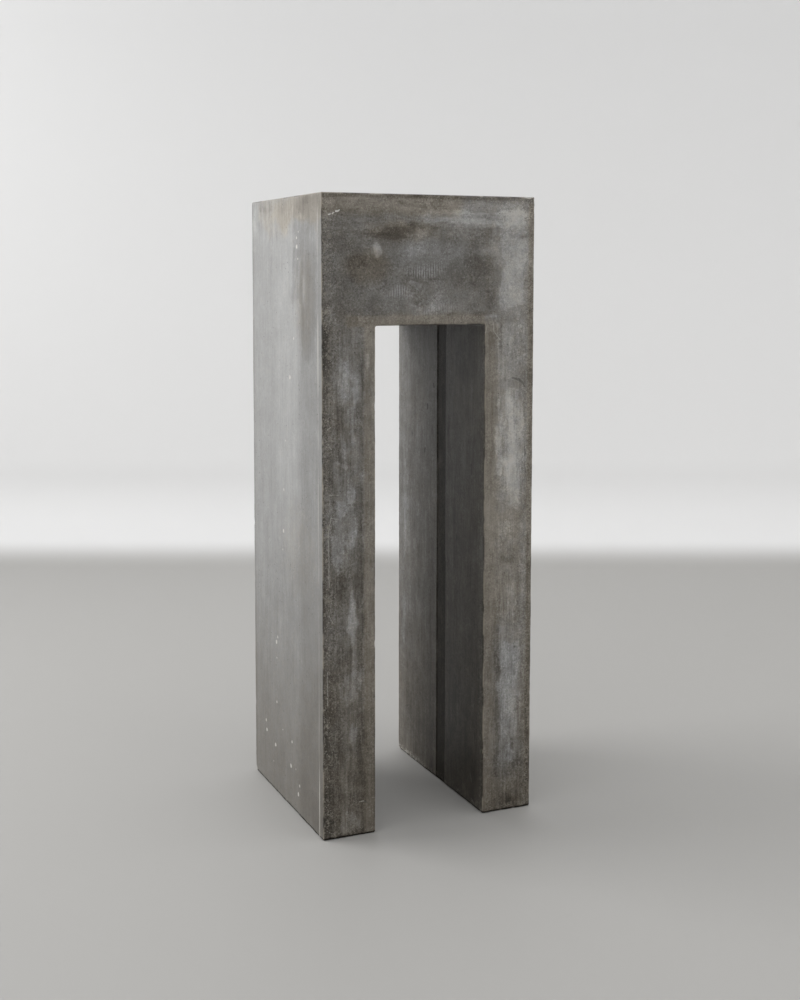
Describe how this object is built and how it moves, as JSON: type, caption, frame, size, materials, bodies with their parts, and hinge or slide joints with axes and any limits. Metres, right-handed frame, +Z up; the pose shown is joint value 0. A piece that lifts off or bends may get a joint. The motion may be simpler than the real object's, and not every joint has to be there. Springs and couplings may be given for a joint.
{
  "type": "portal plinth",
  "caption": "Tall display plinth cast in one piece from grey cement composite: slab legs under a deep lintel, with an open passage through it.",
  "frame": {"origin": "middle of the footprint, on the floor that the two feet stand on", "axes": "+Z up, +X to the right along the front, +Y from the front to the back, along the passage"},
  "size_m": [0.364, 0.342, 1],
  "materials": {
    "cast_cement": "mottled grey cast cement composite, waxed, with paler bloom, brown stains, fine pinholes and worn arrises"
  },
  "bodies": {
    "root": {"portal_plinth": "cast_cement"}
  },
  "joints": []
}
